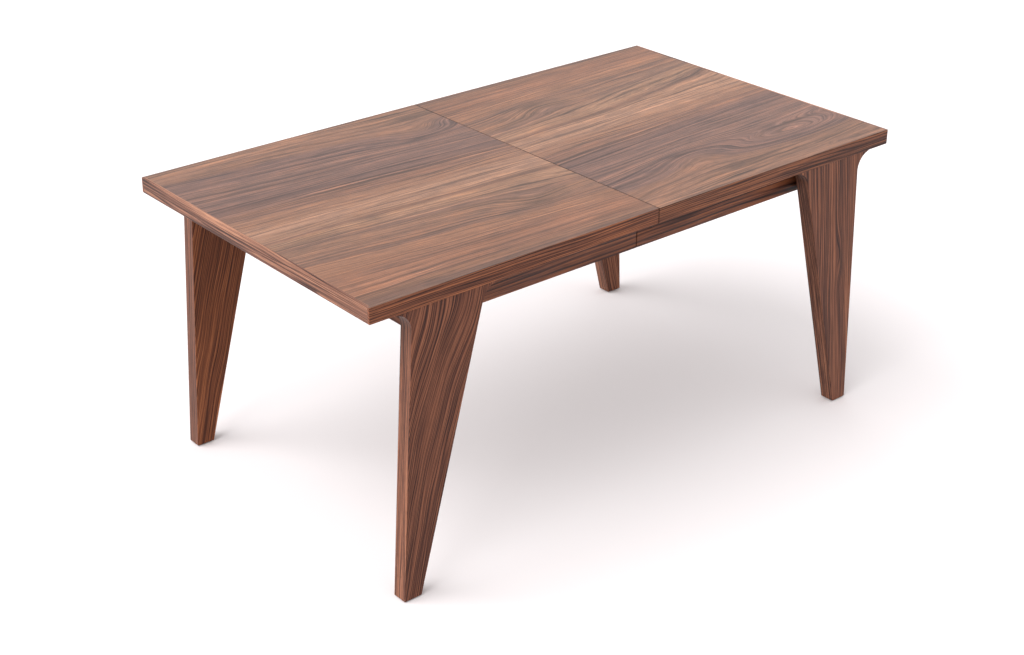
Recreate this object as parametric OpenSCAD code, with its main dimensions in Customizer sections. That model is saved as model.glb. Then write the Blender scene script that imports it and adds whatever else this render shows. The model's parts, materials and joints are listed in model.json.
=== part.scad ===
// Extending dining table: two half tables on geared wooden slides, with one leaf stored under the top.
// Origin on the floor under the middle of the closed table, +X along its length, +Z up, millimetres.

/* [Table] */
// Length with the two halves closed
table_l = 1600; // [1500:10:2000]
// Width across the two long edges
table_w = 900; // [900:10:1100]
// Height of the top surface above the floor
table_h = 735; // [700:5:780]
// Thickness of the tops and of the leaf
top_t = 38; // [32:1:46]
// Gap between the two halves when they are closed
joint_gap = 1.2; // [0.8:0.1:2]

/* [Edges] */
// Thickness of the solid lipping round each top
lipping_t = 6; // [4:0.5:10]
// Size of the eased arrises along the long edges and the ends
arris = 1.5; // [0.5:0.1:2]

/* [Legs] */
// Thickness of a leg board
leg_t = 38; // [32:1:46]
// Setback of a leg's outer face from the long edge of the top
leg_inset = 1; // [0:0.5:10]
// Width of a leg board at its top
leg_top_w = 194; // [170:1:235]
// Width of a leg board at the floor
leg_foot_w = 46; // [38:1:60]
// Setback of a leg's outer edge from the end of the top
leg_setback = 107; // [95:1:125]
// Distance that a leg's outer edge leans outwards on its way down
leg_splay = 35.5; // [20:0.5:45]
// Radius of the cove on each side of a leg's top
cove_r = 44; // [35:1:55]
// Wood left between a cove's highest point and the top
cove_tip = 1.5; // [1:0.1:3]
// Length cut off the thin end of a cove, which leaves a blunt nose
cove_nose = 7.5; // [4:0.5:12]
// Chamfer round the foot of a leg
foot_chamfer = 2; // [1:0.1:4]

/* [Aprons] */
// Height of the aprons and end rails
apron_h = 82; // [76:1:100]
// Thickness of the aprons and end rails
apron_t = 22; // [18:1:27]
// Setback of an apron's outer face from the long edge of the top
apron_setback = 68; // [60:1:75]
// Setback of an apron's end from the end of the top
apron_end_setback = 145; // [140:1:175]
// Length of the block that packs out a leg from its apron
leg_block_l = 84; // [75:1:90]
// Side of the square glue block in each corner
glue_block_w = 24; // [18:1:26]

/* [Slides] */
// Thickness of a slide runner
runner_t = 27; // [26:1:33]
// Height of a slide runner
runner_h = 61; // [58:1:64]
// Gap between one runner and the next
runner_gap = 0.4; // [0.3:0.1:0.8]
// Gap between an apron and the runner beside it
runner_clear = 7; // [4:0.5:8]
// Distance from an outer runner's end to the inside of the end rail
runner_end_clear = 73; // [65:1:90]
// How far a runner reaches under the other half when closed
runner_reach = 480; // [400:10:520]
// Length of a centre runner
centre_runner_l = 1040; // [900:10:1100]
// Clearance of sliding wood under the tops
top_clear = 1; // [0.5:0.1:1.5]
// How far a centre runner hangs below the runners beside it
centre_drop = 1.5; // [1:0.1:3]
// Extra opening past the width of the leaf, so that its pins clear
opening_slack = 30; // [28:1:50]

/* [Gear] */
// Number of teeth on a pinion
pinion_teeth = 16; // [16:4:20]
// How far a rack's pitch line lies behind the face of its runner
rack_depth = 2.1; // [1.9:0.1:2.6]
// Thickness of a pinion and height of a rack
gear_t = 10; // [6:0.5:10]
// Diameter of a pinion's axle
axle_d = 6; // [4:0.5:8]

/* [Leaf] */
// Width that the leaf adds to the table's length
leaf_w = 500; // [380:10:500]
// Thickness of the two slats that carry the stored leaf
bearer_t = 15; // [12:0.5:18]
// Width of those slats
bearer_w = 70; // [50:1:90]
// Distance of those slats from the middle
bearer_x = 300; // [250:5:340]

/* [Fittings] */
// Diameter of an alignment pin
pin_d = 9; // [8:0.5:12]
// Distance that an alignment pin stands out of the edge
pin_out = 12; // [8:0.5:13]
// Distance of the outer alignment pins from the middle one
pin_pitch = 350; // [345:1:380]
// Shank diameter of the leg bolts
bolt_d = 8; // [6:1:8]
// Shank diameter of the wood screws
screw_d = 5; // [4:0.5:5]
// Thickness of a foot glide
glide_t = 3; // [2:0.5:6]
// Diameter of a foot glide
glide_d = 26; // [20:1:32]

/* [Hidden] */
$fn = 64;

walnut = [0.47, 0.29, 0.20];
walnut_top = [0.68, 0.50, 0.40];
beech = [0.80, 0.64, 0.45];
steel = [0.72, 0.72, 0.74];
brass = [0.80, 0.66, 0.34];
nylon = [0.15, 0.15, 0.15];

touch_clear = 0.05;                     // between a fastener and its hole
running_clear = 0.06;                   // between a turning bore and its pin
cut = 1;                                // how far a cutting solid runs past a face
end_x = table_l / 2;
edge_y = table_w / 2;
under_z = table_h - top_t;              // underside of the tops
joint_x = joint_gap / 2;

// Legs: u is the distance from the end of the top, towards the middle
foot_u = leg_setback - leg_splay;
end_lean = atan(leg_splay / under_z);
middle_lean = atan((leg_top_w - leg_foot_w + leg_splay) / under_z);
flare_z = under_z - cove_tip;
end_cove = [foot_u + ((flare_z - cove_r) * sin(end_lean) - cove_r) / cos(end_lean), flare_z - cove_r];
middle_cove = [foot_u + leg_foot_w + (cove_r + (flare_z - cove_r) * sin(middle_lean)) / cos(middle_lean),
    flare_z - cove_r];
leg_out_y = edge_y - leg_inset;
leg_in_y = leg_out_y - leg_t;
leg_mid_y = leg_out_y - leg_t / 2;

// Aprons, end rails and blocks
apron_out_y = edge_y - apron_setback;
apron_in_y = apron_out_y - apron_t;
apron_z = under_z - apron_h;
apron_end_x = end_x - apron_end_setback;
rail_in_x = apron_end_x - apron_t;
block_x = apron_end_x - leg_block_l - 5;
glue_block_h = apron_h - 8;

// Slides
centre_y = apron_in_y - runner_clear - runner_gap - 1.5 * runner_t;
runner_pitch = runner_t + runner_gap;
inner_face_y = centre_y - runner_pitch - runner_t / 2;
runner_z = under_z - runner_h;
centre_z = runner_z - centre_drop;
runner_end_x = rail_in_x - runner_end_clear;
tongue_z = runner_z + 16;
tongue_neck = 12;
tongue_out = 8;
tongue_slope = 16;
tongue_clear = 0.4;

// Leaf, stored lengthwise between the slides, so thick runners leave room for a narrower one
guide_clear = 1;
leaf_width = min(leaf_w, 2 * (inner_face_y - pin_out - guide_clear));
leaf_l = table_w;
leaf_z = centre_z;
guide_l = 40;
guide_w = min(15, inner_face_y - leaf_width / 2 - 2 * guide_clear);
guide_h = 16;
travel = (leaf_width + opening_slack) / 2;  // of each half, away from the middle

// Equalising gear: d is the distance from a pinion's axis
gear_z = under_z - 17;
pitch_r = runner_t / 2 + runner_gap + rack_depth;
gear_module = 2 * pitch_r / pinion_teeth;
tooth_pitch = PI * gear_module;
addendum = 0.8 * gear_module;
dedendum = 1.05 * gear_module;
pressure = 20;
tooth_share = 0.44;                     // tooth thickness over pitch, which leaves a little backlash
rack_back = 3.5;
rack_back_d = pitch_r + dedendum + rack_back;
rack_spare_teeth = 3;
rack_teeth = ceil(travel / tooth_pitch) + 2 * rack_spare_teeth;
pinion_side_clear = 0.5;
pinion_tip_clear = 0.6;
axle_bottom_z = gear_z - 25;

// Stops that end the slides' travel
stop_z = under_z - 29;
stop_d = 5;
stop_in = 6;                            // how far a stop pin reaches into the slot beside it
stop_clear = 0.4;
stop_x = 120;

// Alignment pins
pin_z = table_h - top_t / 2;
leaf_pin_z = leaf_z + top_t / 2;
pin_in = 15;
pin_hole_clear = 0.4;

// Screws and bolts
screw_grip = 20;                        // wood between a screw's head and the underside of the top
screw_in_top = 20;
screw_head_d = 9;
screw_head_h = 3.5;
counterbore_d = 10;
apron_screw_u = [270, 450, 640];
runner_screw_u = [270, 400, 560, 700];
runner_screw_in = 8;                    // from a runner's face that is not grooved
bolt_x = end_x - 206;
bolt_drops = [22, 60];
bolt_head_d = 16;
bolt_head_h = 6;
bolt_in_leg = 17;
insert_d = 13;
insert_l = 19;
bearer_screw_l = 32;
nail_d = 3;
nail_l = 16;

// Latches under the joint, one beside each long edge
latch_y = edge_y - 42;
latch_pivot_x = -14;
latch_reach = 26;
latch_plate_t = 2;
latch_plate_l = 32;
latch_plate_w = 26;
latch_pin_d = 6;
latch_head_d = 10;
latch_head_t = 1.5;
lever_t = 4;
lever_w = 14;
lever_gap = 0.5;
lever_hub_r = 8;
hook_clear = 0.4;
knob_d = 7;
knob_h = 9;
knob_x = 13;
latch_screw_d = 3;
latch_screw_l = 12;
latch_screw_y = 8;
lever_top_z = under_z - latch_plate_t - lever_gap;
latch_head_z = lever_top_z - lever_t - lever_gap - latch_head_t;

// Everything is drawn for the right half and the back row, then mirrored
module half(side) mirror([side < 0 ? 1 : 0, 0, 0]) children();
module row(side) mirror([0, side < 0 ? 1 : 0, 0]) children();
module both_rows() for (side = [-1, 1]) row(side) children();

// A solid between two corners
module block(low, high) translate(low) cube(high - low);

// A profile in Y and Z, run along X
module run_x(x0, x1) translate([x0, 0, 0]) rotate([90, 0, 90]) linear_extrude(x1 - x0) children();

// A profile in X and Z, run along Y
module run_y(y0, y1) translate([0, y1, 0]) rotate([90, 0, 0]) linear_extrude(y1 - y0) children();

// A rod along Y
module rod_y(at, d, l) translate(at) rotate([-90, 0, 0]) cylinder(d = d, h = l);

// A rod along X
module rod_x(at, d, l) translate(at) rotate([0, 90, 0]) cylinder(d = d, h = l);

// ---- Tops and lippings

// Section of a lipping: its outer face at t, its arrises eased
module lipping_section(t, z0, z1)
    polygon([[0, z0], [t - arris, z0], [t, z0 + arris], [t, z1 - arris], [t - arris, z1], [0, z1]]);

module panel(side) half(side) difference() {
    block([joint_x + lipping_t, -edge_y + lipping_t, under_z],
        [end_x - lipping_t, edge_y - lipping_t, table_h]);
    both_rows() top_screw_places(side) translate([0, 0, under_z - cut])
        cylinder(d = screw_d + 2 * touch_clear, h = screw_in_top + cut + touch_clear);
}

module edge_lipping() translate([0, edge_y - lipping_t, 0]) run_x(joint_x, end_x)
    lipping_section(lipping_t, under_z, table_h);

module end_lipping() translate([end_x - lipping_t, 0, 0])
    run_y(-edge_y + lipping_t, edge_y - lipping_t) lipping_section(lipping_t, under_z, table_h);

module joint_lipping() block([joint_x, -edge_y + lipping_t, under_z],
    [joint_x + lipping_t, edge_y - lipping_t, table_h]);

module pin_places() for (i = [-1, 0, 1]) translate([0, i * pin_pitch, pin_z]) children();

module left_pin_holes() pin_places()
    rod_x([-joint_x - pin_in, 0, 0], pin_d + 2 * touch_clear, pin_in + cut);

module right_pin_holes() pin_places()
    rod_x([joint_x - cut, 0, 0], pin_d + 2 * pin_hole_clear, pin_out + 1.5 * cut);

module left_panel() color(walnut_top) difference() {
    panel(-1);
    left_pin_holes();
    both_rows() plate_screw_places(-1) latch_screw_hole();
}

module right_panel() color(walnut_top) difference() {
    panel(1);
    right_pin_holes();
    both_rows() plate_screw_places(1) latch_screw_hole();
}

module left_joint_lipping() color(walnut) difference() { half(-1) joint_lipping(); left_pin_holes(); }
module right_joint_lipping() color(walnut) difference() { half(1) joint_lipping(); right_pin_holes(); }
module lipping_piece(side, front_back) color(walnut) half(side) row(front_back) edge_lipping();
module end_lipping_piece(side) color(walnut) half(side) end_lipping();

// A pin with a coned nose, along +X from the origin
module pin(l) {
    nose = pin_d / 4;
    rotate([0, 90, 0]) {
        cylinder(d = pin_d, h = l - nose);
        translate([0, 0, l - nose]) cylinder(d1 = pin_d, d2 = pin_d - 2 * nose, h = nose);
    }
}

module alignment_pins() color(brass) pin_places() translate([-joint_x - pin_in, 0, 0])
    pin(pin_in + joint_gap + pin_out - joint_x);

// ---- Legs

module leg_outline() difference() {
    polygon([
        [foot_u + foot_chamfer + glide_t * tan(end_lean), glide_t],
        [foot_u + (glide_t + foot_chamfer) * tan(end_lean), glide_t + foot_chamfer],
        end_cove + cove_r * [cos(end_lean), -sin(end_lean)],
        [end_cove.x + cove_nose, end_cove.y],
        [end_cove.x + cove_nose, under_z],
        [middle_cove.x - cove_nose, under_z],
        [middle_cove.x - cove_nose, middle_cove.y],
        middle_cove + cove_r * [-cos(middle_lean), sin(middle_lean)],
        [foot_u + leg_foot_w + (glide_t + foot_chamfer) * tan(middle_lean), glide_t + foot_chamfer],
        [foot_u + leg_foot_w - foot_chamfer + glide_t * tan(middle_lean), glide_t]
    ]);
    for (cove = [end_cove, middle_cove]) translate(cove) circle(r = cove_r, $fn = 128);
}

module leg() difference() {
    translate([end_x, 0, 0]) mirror([1, 0, 0]) run_y(leg_in_y, leg_out_y) leg_outline();
    bolt_places() rod_y([0, leg_in_y - cut, 0], insert_d + 2 * touch_clear, insert_l + cut + touch_clear);
    translate([foot_x(), leg_mid_y, 0]) cylinder(d = nail_d + 2 * touch_clear, h = glide_t + nail_l + touch_clear);
}

function foot_x() = end_x - foot_u - leg_foot_w / 2;

module leg_piece(side, front_back) color(walnut) half(side) row(front_back) leg();

module glide() translate([foot_x(), leg_mid_y, 0]) {
    cylinder(d1 = glide_d - 2, d2 = glide_d, h = glide_t / 2);
    translate([0, 0, glide_t / 2]) cylinder(d = glide_d, h = glide_t / 2);
    cylinder(d = nail_d, h = glide_t + nail_l);
}

module glides(side) color(nylon) half(side) both_rows() glide();

// ---- Aprons, end rails and blocks

module bolt_places() for (drop = bolt_drops) translate([bolt_x, 0, under_z - drop]) children();

// Clearance for a leg bolt's shank
module bolt_holes() bolt_places()
    rod_y([0, apron_in_y - cut, 0], bolt_d + 0.6, leg_in_y - apron_in_y + 2 * cut);

module apron() difference() {
    block([joint_x, apron_in_y, apron_z], [apron_end_x, apron_out_y, under_z]);
    bolt_holes();
    apron_screw_places() counterbore(apron_z);
}

module leg_blocks(side) color(walnut) half(side) both_rows() difference() {
    block([block_x, apron_out_y, apron_z], [block_x + leg_block_l, leg_in_y, under_z]);
    bolt_holes();
}

module apron_piece(side, front_back) color(walnut) half(side) row(front_back) apron();

module end_rail(side) color(walnut) half(side)
    block([rail_in_x, -apron_in_y, apron_z], [apron_end_x, apron_in_y, under_z]);

module glue_blocks(side) color(beech) half(side) both_rows()
    block([rail_in_x - glue_block_w, apron_in_y - glue_block_w, under_z - glue_block_h],
        [rail_in_x, apron_in_y, under_z]);

// Flanged bolt from inside the apron, and the threaded insert that it screws into
module leg_bolts(side) color(steel) half(side) both_rows() bolt_places() {
    rod_y([0, apron_in_y - bolt_head_h, 0], bolt_d + 5, bolt_head_h);
    rod_y([0, apron_in_y - 2, 0], bolt_head_d, 2);
    rod_y([0, apron_in_y - 2, 0], bolt_d, 2 + leg_in_y - apron_in_y + bolt_in_leg);
}

module leg_inserts(side) color(brass) half(side) both_rows() bolt_places() difference() {
    rod_y([0, leg_in_y, 0], insert_d, insert_l);
    rod_y([0, leg_in_y - cut, 0], bolt_d + 2 * touch_clear, insert_l + 2 * cut);
}

// ---- Screws that hold the aprons and the slides to the tops

module apron_screw_places() for (u = apron_screw_u)
    translate([end_x - u, apron_out_y - apron_t / 2, 0]) children();

// The left half has the outer runners and the right half the inner ones
module runner_screw_places(side) for (u = runner_screw_u)
    translate([end_x - u, centre_y - side * (runner_pitch + runner_t / 2 - runner_screw_in), 0]) children();

module top_screw_places(side) {
    apron_screw_places() children();
    runner_screw_places(side) children();
}

module counterbore(z0) {
    seat = under_z - screw_grip;
    translate([0, 0, z0 - cut]) cylinder(d = counterbore_d, h = seat - z0 + cut);
    translate([0, 0, z0]) cylinder(d = screw_d + 2 * touch_clear, h = under_z - z0 + cut);
}

// A pan-head screw pointing up, its head's seat at the origin
module screw(d, l, head_d, head_h) {
    translate([0, 0, -head_h]) cylinder(d = head_d, h = head_h);
    cylinder(d = d, h = l);
}

module top_screws(side) color(steel) half(side) both_rows() top_screw_places(side)
    translate([0, 0, under_z - screw_grip])
        screw(screw_d, screw_grip + screw_in_top, screw_head_d, screw_head_h);

// ---- Slides

// Section of a tongue on a face at y = 0 that looks along +Y
module tongue_section(clear) translate([0, tongue_z]) {
    neck = tongue_neck / 2 + clear;
    tip = tongue_neck / 2 + tongue_out * tan(tongue_slope) + clear;
    out = tongue_out + clear;
    polygon([[-cut, -neck], [0, -neck], [out, -tip], [out, tip], [0, neck], [-cut, neck]]);
}

// A half's runner: grooved for the tongue, the rack and a stop pin, and lowered where it passes
// under the other half
module runner(side) half(side) difference() {
    y = centre_y - side * runner_pitch;
    face = y + side * runner_t / 2;
    block([-runner_reach, y - runner_t / 2, runner_z], [runner_end_x, y + runner_t / 2, under_z]);
    block([-runner_reach - cut, y - runner_t / 2 - cut, under_z - top_clear],
        [joint_x, y + runner_t / 2 + cut, under_z + cut]);
    translate([0, face, 0]) mirror([0, side > 0 ? 1 : 0, 0]) {
        run_x(-runner_reach - cut, runner_end_x + cut) tongue_section(tongue_clear);
        block([rack_x0() - touch_clear, -cut, gear_z - gear_t / 2 - touch_clear],
            [rack_x1() + touch_clear, rack_back_d - centre_face() + touch_clear,
                gear_z + gear_t / 2 + touch_clear]);
        stop_slot();
    }
    runner_screw_places(side) counterbore(runner_z);
}

// Distance from a pinion's axis to the grooved face of the runners beside it
function centre_face() = runner_t / 2 + runner_gap;

// The slot is as long as the travel, and its ends stop the pin
module stop_slot() {
    low = -stop_x - travel;
    high = -stop_x;
    r = stop_d / 2 + stop_clear;
    block([low, -cut, stop_z - r], [high, stop_in + stop_clear, stop_z + r]);
    for (x = [low, high]) rod_y([x, -cut, stop_z], 2 * r, cut + stop_in + stop_clear);
}

module runner_piece(side, front_back) color(beech) row(front_back) runner(side);

module centre_runner() difference() {
    union() {
        block([-centre_runner_l / 2, centre_y - runner_t / 2, centre_z],
            [centre_runner_l / 2, centre_y + runner_t / 2, under_z - top_clear]);
        for (face = [-1, 1]) translate([0, centre_y + face * runner_t / 2, 0])
            mirror([0, face < 0 ? 1 : 0, 0])
                run_x(-centre_runner_l / 2, centre_runner_l / 2) tongue_section(0);
    }
    translate([0, centre_y, gear_z - gear_t / 2 - pinion_side_clear])
        cylinder(r = pitch_r + addendum + pinion_tip_clear, h = gear_t + 2 * pinion_side_clear, $fn = 96);
    translate([0, centre_y, axle_bottom_z - touch_clear])
        cylinder(d = axle_d + 2 * touch_clear, h = under_z - axle_bottom_z);
    for (side = [-1, 1]) stop_pin_place(side)
        rod_y([0, 0, 0], stop_d + 2 * touch_clear, runner_t / 2 + cut);
    bearer_screw_places(-1) screw_hole();
    bearer_screw_places(1) screw_hole();
}

module centre_runner_piece(front_back) color(beech) row(front_back) centre_runner();

// From the middle of a centre runner, looking at the runner of one half
module stop_pin_place(side) translate([-side * stop_x, centre_y, stop_z])
    mirror([0, side > 0 ? 1 : 0, 0]) children();

module stop_pins() color(steel) both_rows() for (side = [-1, 1]) stop_pin_place(side)
    rod_y([0, touch_clear, 0], stop_d, runner_t / 2 + stop_in - touch_clear);

// ---- Equalising gear

function involute(r) = tan(angle_at(r)) * 180 / PI - angle_at(r);
function angle_at(r) = acos(min(1, pitch_r * cos(pressure) / r));
function tooth_half(r) = tooth_share * tooth_pitch / 2 / pitch_r * 180 / PI
    + involute(pitch_r) - involute(r);

module pinion() difference() {
    base_r = pitch_r * cos(pressure);
    flank = [for (i = [0:4]) base_r + (pitch_r + addendum - base_r) * i / 4];
    root_r = pitch_r - dedendum;
    translate([0, 0, -gear_t / 2]) linear_extrude(gear_t) polygon([
        for (tooth = [0:pinion_teeth - 1]) let (a = tooth * 360 / pinion_teeth) each concat(
            [root_r * [cos(a - tooth_half(base_r)), sin(a - tooth_half(base_r))]],
            [for (r = flank) r * [cos(a - tooth_half(r)), sin(a - tooth_half(r))]],
            [for (i = [4:-1:0]) flank[i] * [cos(a + tooth_half(flank[i])), sin(a + tooth_half(flank[i]))]],
            [root_r * [cos(a + tooth_half(base_r)), sin(a + tooth_half(base_r))]])
    ]);
    translate([0, 0, -gear_t]) cylinder(d = axle_d + 2 * running_clear, h = 2 * gear_t);
}

module pinion_piece(front_back) color(nylon) row(front_back) translate([0, centre_y, gear_z]) pinion();

module pinion_axles() color(steel) both_rows() translate([0, centre_y, axle_bottom_z])
    cylinder(d = axle_d, h = under_z - top_clear - touch_clear - axle_bottom_z);

// In the right half's frame the pinion passes the rack from 0 to -travel
function rack_x1() = rack_spare_teeth * tooth_pitch;
function rack_x0() = rack_x1() - rack_teeth * tooth_pitch;

// Teeth point at the pinion's axis, a gap at x = 0
module rack_outline() {
    tip = tooth_share * tooth_pitch / 2 - addendum * tan(pressure);
    root = tooth_share * tooth_pitch / 2 + dedendum * tan(pressure);
    tip_d = pitch_r - addendum;
    root_d = pitch_r + dedendum;
    polygon([
        [rack_x0(), rack_back_d],
        [rack_x0(), root_d],
        for (tooth = [0:rack_teeth - 1]) let (x = rack_x0() + (tooth + 0.5) * tooth_pitch)
            each [[x - root, root_d], [x - tip, tip_d], [x + tip, tip_d], [x + root, root_d]],
        [rack_x1(), root_d],
        [rack_x1(), rack_back_d]
    ]);
}

module racks(side) color(nylon) both_rows() half(side) translate([0, centre_y, gear_z - gear_t / 2])
    mirror([0, side > 0 ? 1 : 0, 0]) linear_extrude(gear_t) rack_outline();

// ---- Leaf bearers

module bearer_screw_places(side) for (dx = [-1, 1])
    translate([side * bearer_x + dx * bearer_w / 4, centre_y, centre_z]) children();

module screw_hole() translate([0, 0, -cut])
    cylinder(d = screw_d + 2 * touch_clear, h = cut + bearer_screw_l - bearer_t + screw_head_h + touch_clear);

module leaf_bearer(side) color(beech) difference() {
    reach = centre_y + runner_t / 2;
    block([side * bearer_x - bearer_w / 2, -reach, centre_z - bearer_t],
        [side * bearer_x + bearer_w / 2, reach, centre_z]);
    both_rows() bearer_screw_places(side) {
        translate([0, 0, -bearer_t - cut]) cylinder(d = counterbore_d, h = screw_head_h + cut);
        translate([0, 0, -bearer_t]) cylinder(d = screw_d + 2 * touch_clear, h = bearer_t + cut);
    }
}

module bearer_screws() color(steel) both_rows() for (side = [-1, 1]) bearer_screw_places(side)
    translate([0, 0, screw_head_h - bearer_t]) screw(screw_d, bearer_screw_l, screw_head_d, screw_head_h);

// Blocks that keep the stored leaf from sliding sideways
module leaf_guides() color(beech) both_rows() for (side = [-1, 1])
    block([side * bearer_x - guide_l / 2, leaf_width / 2 + guide_clear, centre_z],
        [side * bearer_x + guide_l / 2, leaf_width / 2 + guide_clear + guide_w, centre_z + guide_h]);

// ---- Leaf, turned lengthwise: its own width lies along Y

module leaf_pin_places() for (i = [-1, 0, 1]) translate([i * pin_pitch, 0, leaf_pin_z]) children();

module leaf_pin_holes() leaf_pin_places() {
    rod_y([0, -leaf_width / 2 - cut, 0], pin_d + 2 * touch_clear, pin_in + cut);
    rod_y([0, leaf_width / 2 - pin_out - cut / 2, 0], pin_d + 2 * pin_hole_clear, pin_out + 2 * cut);
}

module leaf_panel() color(walnut_top) difference() {
    block([-leaf_l / 2 + lipping_t, -leaf_width / 2 + lipping_t, leaf_z],
        [leaf_l / 2 - lipping_t, leaf_width / 2 - lipping_t, leaf_z + top_t]);
    leaf_pin_holes();
}

module leaf_edge_lippings() color(walnut) for (side = [-1, 1]) half(side)
    translate([leaf_l / 2 - lipping_t, 0, 0]) run_y(-leaf_width / 2, leaf_width / 2)
        lipping_section(lipping_t, leaf_z, leaf_z + top_t);

module leaf_joint_lippings() color(walnut) difference() {
    both_rows() block([-leaf_l / 2 + lipping_t, leaf_width / 2 - lipping_t, leaf_z],
        [leaf_l / 2 - lipping_t, leaf_width / 2, leaf_z + top_t]);
    leaf_pin_holes();
}

module leaf_pins() color(brass) leaf_pin_places() translate([0, pin_in - leaf_width / 2, 0])
    rotate([0, 0, -90]) pin(pin_in + pin_out);

// ---- Latches

module plate_screw_places(side) for (dy = [-1, 1])
    translate([side * (latch_plate_l - 5), latch_y + dy * latch_screw_y, under_z]) children();

module latch_screw_hole() translate([0, 0, -cut])
    cylinder(d = latch_screw_d + 2 * touch_clear, h = cut + latch_screw_l - latch_plate_t + touch_clear);

// Plate under one half, drilled for its two screws
module plate(side) difference() {
    half(side) block([joint_x + 2, latch_y - latch_plate_w / 2, under_z - latch_plate_t],
        [latch_plate_l, latch_y + latch_plate_w / 2, under_z]);
    plate_screw_places(side) translate([0, 0, -latch_plate_t - cut])
        cylinder(d = latch_screw_d + 2 * touch_clear, h = latch_plate_t + 2 * cut);
}

module plate_screws(side) color(steel) both_rows() plate_screw_places(side)
    translate([0, 0, -latch_plate_t]) screw(latch_screw_d, latch_screw_l, 2 * latch_screw_d, 1.5);

module latch_plates() color(steel) both_rows() {
    plate(-1);
    translate([latch_pivot_x, latch_y, latch_head_z]) {
        cylinder(d = latch_pin_d, h = under_z - latch_plate_t - latch_head_z);
        cylinder(d = latch_head_d, h = latch_head_t);
    }
}

module latch_keepers() color(steel) both_rows() {
    plate(1);
    translate([latch_pivot_x + latch_reach, latch_y, lever_top_z - lever_t - lever_gap])
        cylinder(d = latch_pin_d, h = lever_t + 2 * lever_gap + latch_plate_t / 2);
}

// The lever reaches along +Y when it is open, and swings to +X to hook the keeper's post
module lever() translate([0, 0, -lever_t]) difference() {
    slot_r = latch_pin_d / 2 + hook_clear;
    union() {
        linear_extrude(lever_t) {
            circle(r = lever_hub_r);
            translate([-lever_w / 2, 0]) square([lever_w, latch_reach]);
            translate([0, latch_reach]) circle(d = lever_w);
        }
        translate([0, knob_x, -knob_h]) cylinder(d = knob_d, h = knob_h + lever_t / 2);
    }
    translate([0, 0, -cut]) cylinder(d = latch_pin_d + 2 * running_clear, h = lever_t + 2 * cut);
    translate([0, latch_reach, -cut]) cylinder(r = slot_r, h = lever_t + 2 * cut);
    translate([0, 0, -cut]) linear_extrude(lever_t + 2 * cut) intersection() {
        difference() {
            circle(r = latch_reach + slot_r);
            circle(r = latch_reach - slot_r);
        }
        translate([0, latch_reach / 2]) square([lever_w, latch_reach]);
    }
}

module latch_lever(front_back) color(steel) row(front_back)
    translate([latch_pivot_x, latch_y, lever_top_z]) lever();

left_panel();
lipping_piece(-1, -1);  // left_front_lipping
lipping_piece(-1, 1);  // left_back_lipping
end_lipping_piece(-1);  // left_end_lipping
left_joint_lipping();
leg_piece(-1, -1);  // left_front_leg
leg_piece(-1, 1);  // left_back_leg
leg_blocks(-1);  // left_leg_blocks
apron_piece(-1, -1);  // left_front_apron
apron_piece(-1, 1);  // left_back_apron
end_rail(-1);  // left_end_rail
glue_blocks(-1);  // left_glue_blocks
runner_piece(-1, -1);  // left_front_runner
runner_piece(-1, 1);  // left_back_runner
racks(-1);  // left_racks
glides(-1);  // left_glides
leg_bolts(-1);  // left_leg_bolts
leg_inserts(-1);  // left_leg_inserts
top_screws(-1);  // left_top_screws
alignment_pins();
latch_plates();
plate_screws(-1);  // latch_plate_screws
right_panel();
lipping_piece(1, -1);  // right_front_lipping
lipping_piece(1, 1);  // right_back_lipping
end_lipping_piece(1);  // right_end_lipping
right_joint_lipping();
leg_piece(1, -1);  // right_front_leg
leg_piece(1, 1);  // right_back_leg
leg_blocks(1);  // right_leg_blocks
apron_piece(1, -1);  // right_front_apron
apron_piece(1, 1);  // right_back_apron
end_rail(1);  // right_end_rail
glue_blocks(1);  // right_glue_blocks
runner_piece(1, -1);  // right_front_runner
runner_piece(1, 1);  // right_back_runner
racks(1);  // right_racks
glides(1);  // right_glides
leg_bolts(1);  // right_leg_bolts
leg_inserts(1);  // right_leg_inserts
top_screws(1);  // right_top_screws
latch_keepers();
plate_screws(1);  // latch_keeper_screws
centre_runner_piece(-1);  // front_centre_runner
centre_runner_piece(1);  // back_centre_runner
leaf_bearer(-1);  // left_leaf_bearer
leaf_bearer(1);  // right_leaf_bearer
bearer_screws();
stop_pins();
leaf_guides();
pinion_axles();
leaf_panel();
leaf_edge_lippings();
leaf_joint_lippings();
leaf_pins();
pinion_piece(-1);  // front_pinion
pinion_piece(1);  // back_pinion
latch_lever(-1);  // front_latch_lever
latch_lever(1);  // back_latch_lever
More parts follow.
